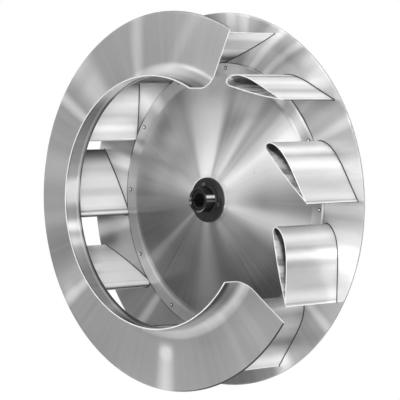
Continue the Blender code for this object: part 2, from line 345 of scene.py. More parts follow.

# Blade finishes with painted light: tone, metallic share, then bands as place along the chord, half
# width, gain. Each blade's tone is lighter or darker as light falls on it, and the bands are painted
# highlights and painted shade
PLAIN_BLADE_TONE_AND_PAINTED_LIGHT = (0.65, 0.3, [(0.0, 0.004, 0.3), (0.018, 0.018, 0.1), (0.083, 0.018, 0.15)])
BLADE_TONES_AND_PAINTED_LIGHT = {
    1: (0.68, 0.1, [
        (0.016, 0.026, 0.42), (0.082, 0.012, 0.14), (0.126, 0.038, -0.66), (0.152, 0.014, -0.35),
    ]),
    2: (0.68, 0.35, [
        (0.0, 0.003, 0.3), (0.018, 0.012, 0.12), (0.04, 0.014, -0.2), (0.075, 0.018, 0.17),
        (0.105, 0.008, -0.42), (0.12, 0.008, 0.15), (0.1345, 0.006, -0.5),
    ]),
    3: (0.6, 0.35, [
        (0.0, 0.003, 0.4), (0.0055, 0.0025, -0.2), (0.015, 0.014, 0.1), (0.042, 0.016, -0.06),
        (0.062, 0.01, 0.06), (0.083, 0.02, 0.32), (0.103, 0.007, -0.1), (0.12, 0.016, 0.32),
        (0.155, 0.01, -0.4),
    ]),
    4: (0.57, 0.35, [
        (0.0, 0.003, 0.45), (0.0055, 0.0025, -0.2), (0.016, 0.02, 0.26), (0.076, 0.01, -0.08),
        (0.094, 0.013, 0.45), (0.11, 0.006, -0.1), (0.13, 0.016, 0.22), (0.155, 0.006, -0.3),
    ]),
    5: (0.5, 0.35, [
        (0.0, 0.003, 0.3), (0.017, 0.026, 0.32), (0.063, 0.026, -0.28), (0.104, 0.014, 0.1),
        (0.126, 0.01, -0.08), (0.139, 0.006, 0.1), (0.155, 0.008, -0.16),
    ]),
    8: (0.9, 0.0, [(0.0, 0.06, -0.3), (0.09, 0.026, 0.3), (0.13, 0.024, 0.35), (0.1475, 0.003, -0.12)]),
    9: (0.84, 0.0, [
        (0.0, 0.054, -0.8), (0.05, 0.012, -0.14), (0.08, 0.02, 0.25), (0.102, 0.01, -0.04),
        (0.126, 0.018, 0.36), (0.1465, 0.0038, -0.42), (0.151, 0.0022, 0.3), (0.1566, 0.0044, -1.0),
    ]),
    10: (0.78, 0.15, [
        (0.02, 0.055, -0.8), (0.08, 0.012, 0.1), (0.102, 0.01, -0.12), (0.129, 0.012, 0.25),
        (0.151, 0.0025, 0.25), (0.1562, 0.003, -0.4),
    ]),
    11: (0.19, 0.2, [(0.148, 0.01, -0.1)]),
}

# Painted highlight and painted shade in bands round the nose of a blade: height over the chord, half
# width, gain
NOSE_LIGHT_AND_SHADE = {8: [(0.0012, 0.0032, 0.4), (0.009, 0.006, -0.9)]}
# Painted shade in the insides that show: dark tone, the depths between which painted light turns into
# painted shade, lifts
INSIDE_PAINTED_SHADE = {2: (0.3, (0.06, 0.105), (2.6, 0.08)), 3: (0.1, (0.014, 0.032))}
# Soft shade on a blade beside the throat: reach from the shroud, its fall per chord, fade, gain
EDGE_SHADES = {8: (0.118, 0.74, 0.022, -0.3), 9: (0.03, 0.1, 0.014, -0.2)}

# Painted highlights and glints on the hub: between two heights and two radii, streaks as angle, half
# width, gain
HUB_PAINTED_GLINTS = [
    (0.047, 0.0705, 0.024, 0.026, [(75, 6, 0.85), (95, 4, 0.12), (150, 40, -0.01), (20, 30, -0.01)]),
    (0.0685, 0.08, 0.0, 0.0245, [(160, 25, 0.22), (258, 5, 0.22), (282, 5, 0.16), (75, 12, 0.12)]),
    (0.04, 0.047, 0.035, 0.045, [(70, 20, 0.02)]),
]
# Painted highlights and glints on the bushing's sleeve, in the same columns
SLEEVE_PAINTED_GLINTS = [
    (0.069, 0.08, 0.0, 0.03, [(180, 25, 0.13), (80, 14, 0.03)]),
    (0.069, 0.08, 0.0155, 0.03, [(256, 6, 0.25), (284, 6, 0.2)]),
]


def on_wheel(radius, degrees, height=0.0):
    """The world point at this radius, clockwise angle and height in front of the back plate."""
    angle = math.radians(degrees)
    return Vector((radius * math.sin(angle), -height, radius * math.cos(angle)))


def ring_of_angles(count, first=0.0):
    return [first + 360.0 * i / count for i in range(count)]


def new_object(name, data):
    found = bpy.data.objects.new(name, data)
    bpy.context.scene.collection.objects.link(found)
    return found


def add_piece(name, mesh, materials, nodes):
    """A piece of the wheel that stands for the named nodes and takes its finish from a slot."""
    piece = new_object(name, mesh)
    if not mesh.materials:
        for material in materials:
            mesh.materials.append(material)
    if nodes:
        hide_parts(*nodes)
    return piece


def finished_mesh(name, bm, sharp=40.0):
    """The bmesh as a smooth-shaded mesh whose faces point out."""
    bmesh.ops.remove_doubles(bm, verts=bm.verts, dist=MERGE_GAP)
    bmesh.ops.recalc_face_normals(bm, faces=bm.faces)
    mesh = bpy.data.meshes.new(name)
    bm.to_mesh(mesh)
    bm.free()
    mesh.shade_smooth()
    mesh.set_sharp_from_angle(angle=math.radians(sharp))
    return mesh


def corner_arc(before, here, after, radius, steps):
    """An arc that rounds the corner at here, between the runs from before and to after."""
    back = (before - here).normalized()
    ahead = (after - here).normalized()
    half = math.acos(max(-1.0, min(1.0, back.dot(ahead)))) / 2
    shorter = min((before - here).length, (after - here).length)
    reach = min(radius / math.tan(half), shorter * CORNER_SHARE)
    radius = reach * math.tan(half)
    middle = here + (back + ahead).normalized() * (radius / math.sin(half))
    start = here + back * reach - middle
    end = here + ahead * reach - middle
    turn = math.atan2(start.x * end.y - start.y * end.x, start.dot(end))
    return [middle + Matrix.Rotation(turn * i / steps, 2) @ start for i in range(steps + 1)]


def rounded(corners, steps=4):
    """An outline through corners (x, y), rounded at those that have a radius as well."""
    flat = [Vector(corner[:2]) for corner in corners]
    points = []
    for i, corner in enumerate(corners):
        if len(corner) == 3:
            after = flat[(i + 1) % len(flat)]
            points += corner_arc(flat[i - 1], flat[i], after, corner[2], steps)
        else:
            points.append(flat[i])
    return points


def with_supports(points, gap):
    """A closed outline with two more points on each long run, so that flats shade flat."""
    found = []
    for point, after in zip(points, points[1:] + points[:1]):
        found.append(point)
        run = after - point
        if run.length > LONG_RUN * gap:
            step = run.normalized() * gap
            found += [point + step, point + run - step]
    return found


def divided(points, pitch):
    """An open path with its long runs cut into pieces no longer than pitch."""
    found = [points[0]]
    for start, end in zip(points, points[1:]):
        pieces = max(1, math.ceil((end - start).length / pitch))
        found += [start.lerp(end, i / pieces) for i in range(1, pieces + 1)]
    return found


def path_frames(path):
    """Each point of a path with the direction along it and the normal beside it."""
    frames = []
    last = len(path) - 1
    for i, point in enumerate(path):
        along = (path[min(i + 1, last)] - path[max(i - 1, 0)]).normalized()
        frames.append((point, along, Vector((-along.y, along.x))))
    return frames


def sheet_loop(path, thickness, edge):
    """A sheet's section: one side along the path and the other back, with rounded ends."""
    half = thickness / 2
    turns = [math.radians(90.0 * i / (EDGE_POINTS - 1)) for i in range(EDGE_POINTS)]
    corner = [(edge * (1 - math.sin(turn)), half - edge + edge * math.cos(turn)) for turn in turns]
    frames = path_frames(path)
    sides = []
    for sign in (1.0, -1.0):
        point, along, beside = frames[0]
        side = [point + along * back + beside * sign * reach for back, reach in reversed(corner)]
        side += [point + beside * sign * half for point, along, beside in frames[1:-1]]
        point, along, beside = frames[-1]
        side += [point - along * back + beside * sign * reach for back, reach in corner]
        sides.append(side)
    return sides[0] + sides[1][::-1]


def side_kinds(count, side, start_edge, end_edge, far_side):
    """The material of each run of a sheet's section: one side, the two edges and the other side."""
    half = count // 2
    kinds = [side] * half + [far_side] * half
    for i in range(EDGE_POINTS):
        kinds[i] = kinds[count - 1 - i] = start_edge
    for i in range(EDGE_POINTS + 1):
        kinds[half - 1 - i] = kinds[half - 1 + i] = end_edge
    return kinds


def add_turned(bm, loops, angles, whole=True, kinds=None, end_kind=0):
    """Faces through one closed (radius, height) loop at each angle, with flat ends unless whole."""
    rings = []
    for loop, angle in zip(loops, angles):
        rings.append([bm.verts.new(on_wheel(point.x, angle, point.y)) for point in loop])
    count = len(rings[0])
    kinds = kinds or [0] * count
    on_axis = [point.x < MERGE_GAP for point in loops[0]]
    pairs = list(zip(rings, rings[1:]))
    if whole:
        pairs.append((rings[-1], rings[0]))
    for k, (near, far) in enumerate(pairs):
        by_end = not whole and (k < END_STEPS or k >= len(pairs) - END_STEPS)
        for i in range(count):
            j = (i + 1) % count
            if not (on_axis[i] and on_axis[j]):
                face = bm.faces.new((near[i], near[j], far[j], far[i]))
                face.material_index = end_kind if by_end else kinds[i]
    if not whole:
        for ring in (rings[0], rings[-1]):
            for i in range(count // 2 - 1):
                face = bm.faces.new((ring[i], ring[i + 1], ring[count - 2 - i], ring[count - 1 - i]))
                face.material_index = end_kind


def turned_mesh(name, loops, angles, sharp=40.0, **more):
    bm = bmesh.new()
    add_turned(bm, loops, angles, **more)
    return finished_mesh(name, bm, sharp)


def sheet_wave(angle, radius):
    """How far a spun sheet stands off its true plane: a few slow waves round the wheel."""
    turn = math.radians(angle)
    return WAVE_HEIGHT * sum(share * math.sin(count * turn + start + twist * radius)
                             for count, start, twist, share in SHEET_WAVES)


def waved(loop, angle, start, end):
    """The loop with its waves, which fade in between two radii."""
    found = []
    for point in loop:
        share = max(0.0, min(1.0, (point.x - start) / (end - start)))
        found.append(Vector((point.x, point.y + share * sheet_wave(angle, point.x))))
    return found


def build_back_plate():
    middle = -PLATE_THICKNESS / 2
    path = divided([Vector((WHEEL_RADIUS, middle)), Vector((PLATE_HOLE_RADIUS, middle))], SHEET_PITCH)
    loop = sheet_loop(path, PLATE_THICKNESS, SHEET_EDGE)
    angles = ring_of_angles(SWEEP_STEPS)
    loops = [waved(loop, angle, DISC_RADIUS, WHEEL_RADIUS) for angle in angles]
    kinds = side_kinds(len(loop), 0, 1, 0, 0)
    mesh = turned_mesh("back_plate_sheet", loops, angles, kinds=kinds)
    piece = add_piece("back_plate_sheet", mesh, [plate_steel, plate_edge], ["back_plate"])
    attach(piece, "root")


def build_centre_disc():
    """A flat rim, a shallow cone and a flat middle."""
    rim = TOUCH_GAP + SHEET / 2
    middle = FLANGE_REAR - TOUCH_GAP - SHEET / 2
    corners = [(DISC_RADIUS, rim), (CONE_FOOT, rim, CONE_FOOT_BEND), (MIDDLE_RADIUS, middle, MIDDLE_BEND),
               (BARREL_RADIUS + TOUCH_GAP, middle)]
    path = divided(rounded(corners, DISC_BEND_STEPS), DISC_PITCH)
    loop = sheet_loop(path, SHEET, SHEET_EDGE)
    angles = ring_of_angles(SWEEP_STEPS)
    kinds = side_kinds(len(loop), 0, 1, 0, 0)
    mesh = turned_mesh("centre_disc_sheet", [loop] * len(angles), angles, kinds=kinds)
    piece = add_piece("centre_disc_sheet", mesh, [disc_steel, cut_edge], ["centre_disc"])
    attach(piece, "root")


def build_front_shroud():
    """A flat ring and the throat that it bends into, from one side of the cut to the other."""
    middle = SHROUD_REAR + SHEET / 2
    corners = [(WHEEL_RADIUS, middle), (THROAT_RADIUS, middle, BEND_RADIUS), (THROAT_RADIUS, LIP_HEIGHT)]
    path = divided(rounded(corners, BEND_STEPS), SHEET_PITCH)
    path.insert(-1, path[-1] - Vector((0.0, SHEET_EDGE + BRIGHT_EDGE)))
    full = sheet_loop(path, SHEET, SHEET_EDGE)
    slim = sheet_loop(path, SHEET - 2 * CUT_CHAMFER, SHEET_EDGE / 2)
    ease = math.degrees(CUT_CHAMFER / CUT_RADIUS)
    bright = math.degrees(BRIGHT_EDGE / CUT_RADIUS)
    first, last = CUT_TO, CUT_FROM + 360.0
    steps = round(SWEEP_STEPS * (last - first) / 360.0)
    inner = [first + ease + (last - first - 2 * ease) * i / steps for i in range(steps + 1)]
    inner = [inner[0], inner[0] + bright] + inner[2:-2] + [inner[-1] - bright, inner[-1]]
    angles = [first] + inner + [last]
    sections = [slim] + [full] * len(inner) + [slim]
    flat_from = THROAT_RADIUS + BEND_RADIUS
    loops = [waved(loop, angle, flat_from, WHEEL_RADIUS) for loop, angle in zip(sections, angles)]
    # The outer rim edge takes slot 3, which has painted shade
    kinds = side_kinds(len(full), 2, 3, 1, 0)
    mesh = turned_mesh("front_shroud_sheet", loops, angles, whole=False, kinds=kinds, end_kind=1)
    piece = add_piece("front_shroud_sheet", mesh,
                      [shroud_steel, cut_edge, throat_steel, shaded_rim_edge], ["front_shroud"])
    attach(piece, "root")


def bezier(start, handle_1, handle_2, end, steps):
    """Points along one cubic curve, without its end."""
    found = []
    corners = [Vector(corner) for corner in (start, handle_1, handle_2, end)]
    for i in range(steps):
        t = i / steps
        u = 1.0 - t
        weights = (u ** 3, 3 * u * u * t, 3 * u * t * t, t ** 3)
        found.append(sum((w * c for w, c in zip(weights, corners)), Vector((0.0, 0.0))))
    return found


def blade_outline():
    """The section's outside: up the hem, over the crest, round the nose and back along the belly."""
    tail = (0.0, 0.0)
    nose = (CHORD, NOSE_HEIGHT)
    over = CREST[0] + ROUND_HANDLE * (CHORD - CREST[0])
    rise = NOSE_HEIGHT + ROUND_HANDLE * (CREST[1] - NOSE_HEIGHT)
    drop = NOSE_HEIGHT - ROUND_HANDLE * (NOSE_HEIGHT - BELLY[1])
    below = BELLY[0] + ROUND_HANDLE * (CHORD - BELLY[0])
    upper = bezier(tail, TAIL_HANDLE, (CREST[0] - CREST_HANDLE, CREST[1]), CREST, UPPER_STEPS)
    front = bezier(CREST, (over, CREST[1]), (CHORD, rise), nose, FRONT_STEPS)
    under = bezier(nose, (CHORD, drop), (below, BELLY[1]), BELLY, UNDER_STEPS)
    lower = bezier(BELLY, BELLY_HANDLES[0], BELLY_HANDLES[1], tail, LOWER_STEPS)
    hem = [Vector((0.0, -HEM_DEPTH))] + [Vector((HEM_WIDTH * share, HEM_HEIGHT)) for share in HEM_SHARES]
    return hem + [point for point in upper if point.x > HEM_WIDTH] + front + under + lower


def inward_normals(points):
    count = len(points)
    found = []
    for i in range(count):
        along = (points[(i + 1) % count] - points[i - 1]).normalized()
        found.append(Vector((along.y, -along.x)))
    return found


def blade_inside(points, normals):
    """The folded sheet's inner face, point for point, drawn together where its walls meet."""
    moved = [point + normal * BLADE_SHEET for point, normal in zip(points, normals)]
    top = max(range(len(moved)), key=lambda i: moved[i].x)
    upper, lower = moved[:top], moved[top:]
    open_from = min(a.x for a in upper for b in lower
                    if abs(a.x - b.x) < WALL_REACH and a.y - b.y > WALL_GAP)
    walls = [point for point in moved if abs(point.x - open_from) < WALL_REACH]
    tip = sum(walls, Vector((0.0, 0.0))) / len(walls)
    return [point if point.x > open_from else tip for point in moved]


def blade_ring(bm, points, height):
    return [bm.verts.new((-point.x, -height, point.y)) for point in points]


def join_rings(bm, near, far, kind=0, first_kind=None):
    """Faces between two rings of points; the first one may have a finish of its own."""
    count = len(near)
    for i in range(count):
        j = (i + 1) % count
        face = bm.faces.new((near[i], near[j], far[j], far[i]))
        face.material_index = first_kind if i == 0 and first_kind else kind


def blade_mesh(name):
    """A hollow blade: outer wall, sheet edges at both ends and inner wall."""
    outside = blade_outline()
    normals = inward_normals(outside)
    inside = blade_inside(outside, normals)
    base = TOUCH_GAP
    top = TOUCH_GAP + BLADE_SPAN
    slim = [point + normal * CUT_CHAMFER for point, normal in zip(outside, normals)]
    wide = [a + (b - a).normalized() * max(0.0, (b - a).length - CUT_CHAMFER)
            for a, b in zip(outside, inside)]
    bright = top - CUT_CHAMFER - BRIGHT_EDGE
    levels = [base + (bright - base) * i / SPAN_STEPS for i in range(SPAN_STEPS + 1)]
    levels.append(top - CUT_CHAMFER)
    bm = bmesh.new()
    outer = [blade_ring(bm, outside, level) for level in levels]
    inner = [blade_ring(bm, inside, level) for level in levels]
    rim = [blade_ring(bm, slim, top), blade_ring(bm, wide, top)]
    for near, far in zip(outer[:-1], outer[1:-1]):
        join_rings(bm, near, far, OUTSIDE, first_kind=HEM_SHADE)
    edge = [outer[-2], outer[-1], rim[0], rim[1], inner[-1]]
    for near, far in zip(edge, edge[1:]):
        join_rings(bm, near, far, EDGE)
    for near, far in zip(inner, inner[1:]):
        join_rings(bm, far, near, INSIDE)
    join_rings(bm, inner[0], outer[0], EDGE)
    return finished_mesh(name, bm, sharp=35.0)


def evenly_spaced(points, pitch):
    """Points at an even pitch round a closed outline."""
    closed = points + [points[0]]
    lengths = [0.0]
    for start, end in zip(closed, closed[1:]):
        lengths.append(lengths[-1] + (end - start).length)
    count = round(lengths[-1] / pitch)
    found = []
    k = 0
    for i in range(count):
        want = lengths[-1] * i / count
        while lengths[k + 1] < want:
            k += 1
        share = (want - lengths[k]) / (lengths[k + 1] - lengths[k])
        found.append(closed[k].lerp(closed[k + 1], share))
    return found


def add_bead(bm, points, height, side):
    """A rippled fillet weld round the outline, on the sheet at this height; side is 1 above it."""
    normals = inward_normals(points)
    rings = []
    for i, (point, inward) in enumerate(zip(points, normals)):
        size = WELD_SIZE * (1.0 + RIPPLE_SHARE * math.sin(math.tau * i * WELD_PITCH / WELD_RIPPLE))
        ring = []
        for out, up in BEAD_SECTION:
            place = point - inward * out * size
            ring.append(bm.verts.new((-place.x, -(height + side * up * size), place.y)))
        rings.append(ring)
    for near, far in zip(rings, rings[1:] + rings[:1]):
        join_rings(bm, near, far)


def weld_mesh(name, covered):
    """The beads that hold a blade: on the back plate, and on the shroud where it covers the blade."""
    points = evenly_spaced(blade_outline(), WELD_PITCH)
    bm = bmesh.new()
    add_bead(bm, points, 0.0, 1.0)
    if covered:
        add_bead(bm, points, SHROUD_REAR, -1.0)
    return finished_mesh(name, bm, sharp=60.0)


def place_blade(piece, angle):
    piece.location = on_wheel(TRAILING_RADIUS, angle)
    piece.rotation_euler.y = -math.radians(90.0 - CHORD_LEAN - angle)
    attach(piece, "root")


def build_blades():
    shape = blade_mesh("airfoil")
    insides = {number: hollow_steel_painted_shade(f"inside_steel_{number:02d}", *finish)
               for number, finish in INSIDE_PAINTED_SHADE.items()}
    for number, angle in enumerate(ring_of_angles(BLADE_COUNT, FIRST_TRAILING_ANGLE), start=1):
        # Each blade gets its own copy of the sheet, toned and banded with painted light and shade for
        # where it stands
        tone, metallic, bands = BLADE_TONES_AND_PAINTED_LIGHT.get(number, PLAIN_BLADE_TONE_AND_PAINTED_LIGHT)
        sheet = blade_steel_painted_light(f"blade_steel_{number:02d}", tone, metallic, bands,
                             NOSE_LIGHT_AND_SHADE.get(number, []), EDGE_SHADES.get(number))
        inside = insides.get(number, inside_steel)
        # On some blades the hem's end face gets painted shade
        hem_end = hem_shade_steel if number in HEM_SHADE_BLADES else cut_edge
        blade = add_piece(f"airfoil_{number:02d}", shape.copy(),
                          [sheet, cut_edge, inside, hem_end], [f"blade_{number:02d}"])
        place_blade(blade, angle)
        name = f"blade_weld_{number:02d}"
        weld = add_piece(name, weld_mesh(name, number not in OPEN_BLADES),
                         [weld_steel], [])
        place_blade(weld, angle)


def build_hub():
    """The casting; each corner of its section is a radius, a height and a rounding."""
    inner = BUSHING_RADIUS + TOUCH_GAP
    corners = [(inner + MOUTH_CHAMFER, BARREL_LENGTH, 0.0003), (BARREL_RADIUS, BARREL_LENGTH, 0.0009),
               (BARREL_RADIUS, FLANGE_FRONT, 0.003), (FLANGE_RADIUS, FLANGE_FRONT, 0.0012),
               (FLANGE_RADIUS, FLANGE_REAR, 0.0006), (BARREL_RADIUS, FLANGE_REAR, 0.0004),
               (BARREL_RADIUS, 0.0, 0.001), (inner, 0.0, 0.0004),
               (inner, BARREL_LENGTH - MOUTH_CHAMFER, 0.0003)]
    loop = with_supports(rounded(corners), HUB_SUPPORT_GAP)
    angles = ring_of_angles(HUB_STEPS)
    mesh = turned_mesh("hub_casting", [loop] * len(angles), angles)
    piece = add_piece("hub_casting", mesh, [hub_iron], ["hub"])
    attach(piece, "root")


def bushing_radius_at(angle):
    """The bore's radius at this angle, deeper in the keyway."""
    away = math.radians(angle - KEYWAY_ANGLE)
    deep = BORE_RADIUS + KEYWAY_DEPTH
    if math.cos(away) > 0.0 and abs(math.sin(away) * deep) < KEYWAY_WIDTH / 2:
        return deep / math.cos(away)
    return BORE_RADIUS


def build_bushing():
    half = math.degrees(math.asin(KEYWAY_WIDTH / 2 / BORE_RADIUS))
    start = KEYWAY_ANGLE + half
    angles = [start + (360.0 - 2 * half) * i / BORE_STEPS for i in range(BORE_STEPS + 1)]
    angles += [360.0 + KEYWAY_ANGLE + half * share for share in KEYWAY_SHARES]
    loops = []
    for angle in angles:
        bore = bushing_radius_at(angle)
        corners = [(bore, BUSHING_LENGTH, 0.0005), (BUSHING_RADIUS, BUSHING_LENGTH, 0.0006),
                   (BUSHING_RADIUS, 0.0, 0.0006), (bore, 0.0, 0.0005)]
        loops.append(with_supports(rounded(corners), BUSHING_SUPPORT_GAP))
    mesh = turned_mesh("bushing_sleeve", loops, angles)
    piece = add_piece("bushing_sleeve", mesh, [bushing_steel], ["shaft_bushing"])
    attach(piece, "root")


def head_arc(radius, height, base, sign, steps):
    """A dished head from its crown to its rim."""
    turns = [math.pi / 2 * i / steps for i in range(steps + 1)]
    return [Vector((radius * math.sin(t), base + sign * height * math.cos(t))) for t in turns]


def build_rivets():
    """Rivets with a crown inside a dark flange in front, and a low dome at the back."""
    front = TOUCH_GAP + SHEET
    rear = -PLATE_THICKNESS
    ledge = front + RIVET_FLANGE_HEIGHT
    side = [(RIVET_HEAD - RIVET_CHAMFER, ledge), (RIVET_HEAD, ledge - RIVET_CHAMFER),
            (RIVET_HEAD, front - RIVET_SINK), (RIVET_HEAD, rear + RIVET_SINK)]
    loop = head_arc(RIVET_CROWN, RIVET_HEAD_HEIGHT - RIVET_FLANGE_HEIGHT, ledge, 1.0, CROWN_STEPS)
    loop += [Vector(point) for point in side]
    loop += head_arc(RIVET_HEAD, RIVET_HEAD_HEIGHT / 2, rear - RIVET_SINK, -1.0, DOME_STEPS)[::-1]
    kinds = [0] * len(loop)
    kinds[CROWN_STEPS - 1:CROWN_STEPS + len(side) - 1] = [1] * len(side)
    angles = ring_of_angles(RIVET_STEPS)
    mesh = turned_mesh("rivet_set", [loop] * len(angles), angles, sharp=50.0, kinds=kinds)
    for number, angle in enumerate(ring_of_angles(RIVET_COUNT, FIRST_RIVET_ANGLE), start=1):
        rivet = add_piece(f"rivet_head_{number:02d}", mesh, [rivet_steel, rivet_seam],
                          [f"rivet_{number:02d}"])
        rivet.location = on_wheel(RIVET_CIRCLE, angle)
        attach(rivet, "root")


def add_hexagon(bm, radius, low, high, turn):
    levels = [(radius, low), (radius, high - radius * HEXAGON_CHAMFER), (radius * HEXAGON_TOP, high)]
    rings = []
    for reach, height in levels:
        rings.append([bm.verts.new(on_wheel(reach, turn + 60.0 * i, height)) for i in range(6)])
    for near, far in zip(rings, rings[1:]):
        join_rings(bm, near, far)
    bm.faces.new(rings[0])
    bm.faces.new(rings[-1])


def add_washer(bm, radius, low, high):
    loop = rounded([(0.0, high), (radius, high, WASHER_EDGE), (radius, low), (0.0, low)], 3)
    add_turned(bm, [loop] * WASHER_STEPS, ring_of_angles(WASHER_STEPS))


def build_bolts():
    """Bolts with a head and a washer in front, and a nut and their own end behind."""
    front = FLANGE_FRONT
    rear = FLANGE_REAR - TOUCH_GAP - SHEET
    for number, angle in enumerate(ring_of_angles(BOLT_COUNT, FIRST_BOLT_ANGLE), start=1):
        bm = bmesh.new()
        add_hexagon(bm, BOLT_HEAD, front + WASHER, front + BOLT_HEAD_HEIGHT, HEAD_TURN * number)
        add_washer(bm, WASHER_RADIUS, front, front + WASHER)
        add_hexagon(bm, BOLT_HEAD, rear, rear - NUT_HEIGHT, NUT_TURN * number)
        add_washer(bm, BOLT_END_RADIUS, rear - BOLT_END, rear)
        mesh = finished_mesh(f"hub_bolt_set_{number}", bm, sharp=30.0)
        bolt = add_piece(f"hub_bolt_set_{number}", mesh, [bolt_steel],
                         [f"hub_bolt_{number}"])
        bolt.location = on_wheel(BOLT_CIRCLE, angle)
        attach(bolt, "root")


def new_shader(name, metallic=0.0, roughness=0.4):
    material = bpy.data.materials.new(name)
    material.use_nodes = True
    shader = material.node_tree.nodes["Principled BSDF"]
    shader.inputs["Metallic"].default_value = metallic
    shader.inputs["Roughness"].default_value = roughness
    return material, material.node_tree, shader


def feed(tree, socket, value):
    """A socket gets another socket's value, or a plain number or vector."""
    if isinstance(value, bpy.types.NodeSocket):
        tree.links.new(value, socket)
    else:
        socket.default_value = value


def maths(tree, operation, first, *others):
    """The operation on one value, or carried on over all of them in turn."""
    result = first
    for other in others or (0.0,):
        node = tree.nodes.new("ShaderNodeMath")
        node.operation = operation
        feed(tree, node.inputs[0], result)
        feed(tree, node.inputs[1], other)
        result = node.outputs[0]
    return result


def vector_maths(tree, operation, a, b=None):
    node = tree.nodes.new("ShaderNodeVectorMath")
    node.operation = operation
    feed(tree, node.inputs[0], a)
    if b is not None:
        feed(tree, node.inputs[1], b)
    return node.outputs["Value" if operation in ("DOT_PRODUCT", "LENGTH") else "Vector"]


def noise(tree, place, scale, detail=2.0, roughness=0.5):
    """Noise round a half; its scale is one number, or one for each axis."""
    if isinstance(scale, tuple):
        place = vector_maths(tree, "MULTIPLY", place, scale)
        scale = 1.0
    node = tree.nodes.new("ShaderNodeTexNoise")
    feed(tree, node.inputs["Vector"], place)
    node.inputs["Scale"].default_value = scale
    node.inputs["Detail"].default_value = detail
    node.inputs["Roughness"].default_value = roughness
    return node.outputs["Fac"]


def spread(tree, value, from_low, from_high, to_low, to_high, smooth=False):
    """The value, carried from one range to another and kept inside it."""
    node = tree.nodes.new("ShaderNodeMapRange")
    node.interpolation_type = "SMOOTHSTEP" if smooth else "LINEAR"
    for socket, number in zip(node.inputs, (value, from_low, from_high, to_low, to_high)):
        feed(tree, socket, number)
    return node.outputs["Result"]


def grey(tree, value):
    node = tree.nodes.new("ShaderNodeCombineColor")
    for socket in node.inputs:
        feed(tree, socket, value)
    return node.outputs["Color"]


def set_finish(tree, shader, tone, roughness):
    tree.links.new(grey(tree, tone), shader.inputs["Base Color"])
    tree.links.new(roughness, shader.inputs["Roughness"])


def against_axis(tree, place, axis):
    """How far a place lies against the axis: its height along Y, or its chord along X."""
    return maths(tree, "MULTIPLY", axis_place(tree, place, axis), -1.0)


def bump(tree, shader, height, distance):
    node = tree.nodes.new("ShaderNodeBump")
    node.inputs["Distance"].default_value = distance
    feed(tree, node.inputs["Height"], height)
    tree.links.new(node.outputs["Normal"], shader.inputs["Normal"])


def object_place(tree):
    return tree.nodes.new("ShaderNodeTexCoord").outputs["Object"]


def axis_place(tree, place, axis):
    split = tree.nodes.new("ShaderNodeSeparateXYZ")
    tree.links.new(place, split.inputs["Vector"])
    return split.outputs[axis]


def wheel_place(tree):
    """The direction away from the axis, as a vector of length 1, and the distance from it."""
    flat = vector_maths(tree, "MULTIPLY", object_place(tree), (1.0, 0.0, 1.0))
    return vector_maths(tree, "NORMALIZE", flat), vector_maths(tree, "LENGTH", flat)


def streak(tree, direction, angle, width, gain):
    """A soft radial streak at this angle, painted highlight where the gain is positive and painted shade
    where it is negative: gain at its middle, half of it at its width.
    """
    reach = min(180.0, width * STREAK_REACH)
    near = vector_maths(tree, "DOT_PRODUCT", direction, on_wheel(1.0, angle))
    share = spread(tree, near, math.cos(math.radians(reach)), 1.0, 0.0, 1.0)
    return maths(tree, "MULTIPLY", share, share, gain)


def leaned(tree, direction, radius, lean):
    """The direction turned back by so many degrees a metre, so that streaks lean with the clock."""
    if lean == 0.0:
        return direction
    node = tree.nodes.new("ShaderNodeVectorRotate")
    node.rotation_type = "Y_AXIS"
    tree.links.new(direction, node.inputs["Vector"])
    past = maths(tree, "SUBTRACT", radius, LEAN_RADIUS)
    tree.links.new(maths(tree, "MULTIPLY", past, -math.radians(lean)), node.inputs["Angle"])
    return node.outputs["Vector"]


def all_streaks(tree, direction, offset, streaks):
    return maths(tree, "ADD", offset, *(streak(tree, direction, *row) for row in streaks))


def window(tree, place, start, end, fade):
    """1 between start and end, 0 past them, with soft edges."""
    rise = spread(tree, place, start - fade, start + fade, 0.0, 1.0, smooth=True)
    fall = spread(tree, place, end - fade, end + fade, 1.0, 0.0, smooth=True)
    return maths(tree, "MULTIPLY", rise, fall)


def band(tree, place, middle, width, gain):
    """A soft band across a surface: gain at its middle, nothing past its width."""
    away = maths(tree, "ABSOLUTE", maths(tree, "SUBTRACT", place, middle))
    return spread(tree, away, 0.0, width, gain, 0.0, smooth=True)


def all_bands(tree, value, place, bands):
    for row in bands:
        value = maths(tree, "ADD", value, band(tree, place, *row))
    return value


def specks(tree, place):
    """A few small dark spots, one in each cell of a coarse pattern."""
    cells = tree.nodes.new("ShaderNodeTexVoronoi")
    tree.links.new(place, cells.inputs["Vector"])
    cells.inputs["Scale"].default_value = SPECK_SCALE
    size = SPECK_SIZE * SPECK_SCALE
    return spread(tree, cells.outputs["Distance"], size / 2, size, SPECK_GAIN, 0.0)


def throat_level(tree, direction, height):
    """Height above the line where the throat turns away, which climbs towards its top and foot."""
    side = maths(tree, "ABSOLUTE", axis_place(tree, direction, "X"))
    climb = maths(tree, "POWER", maths(tree, "SUBTRACT", 1.0, side), TURN_POWER)
    line = maths(tree, "ADD", maths(tree, "MULTIPLY", climb, TURN_CLIMB), TURN_LEVEL)
    return maths(tree, "SUBTRACT", height, line)


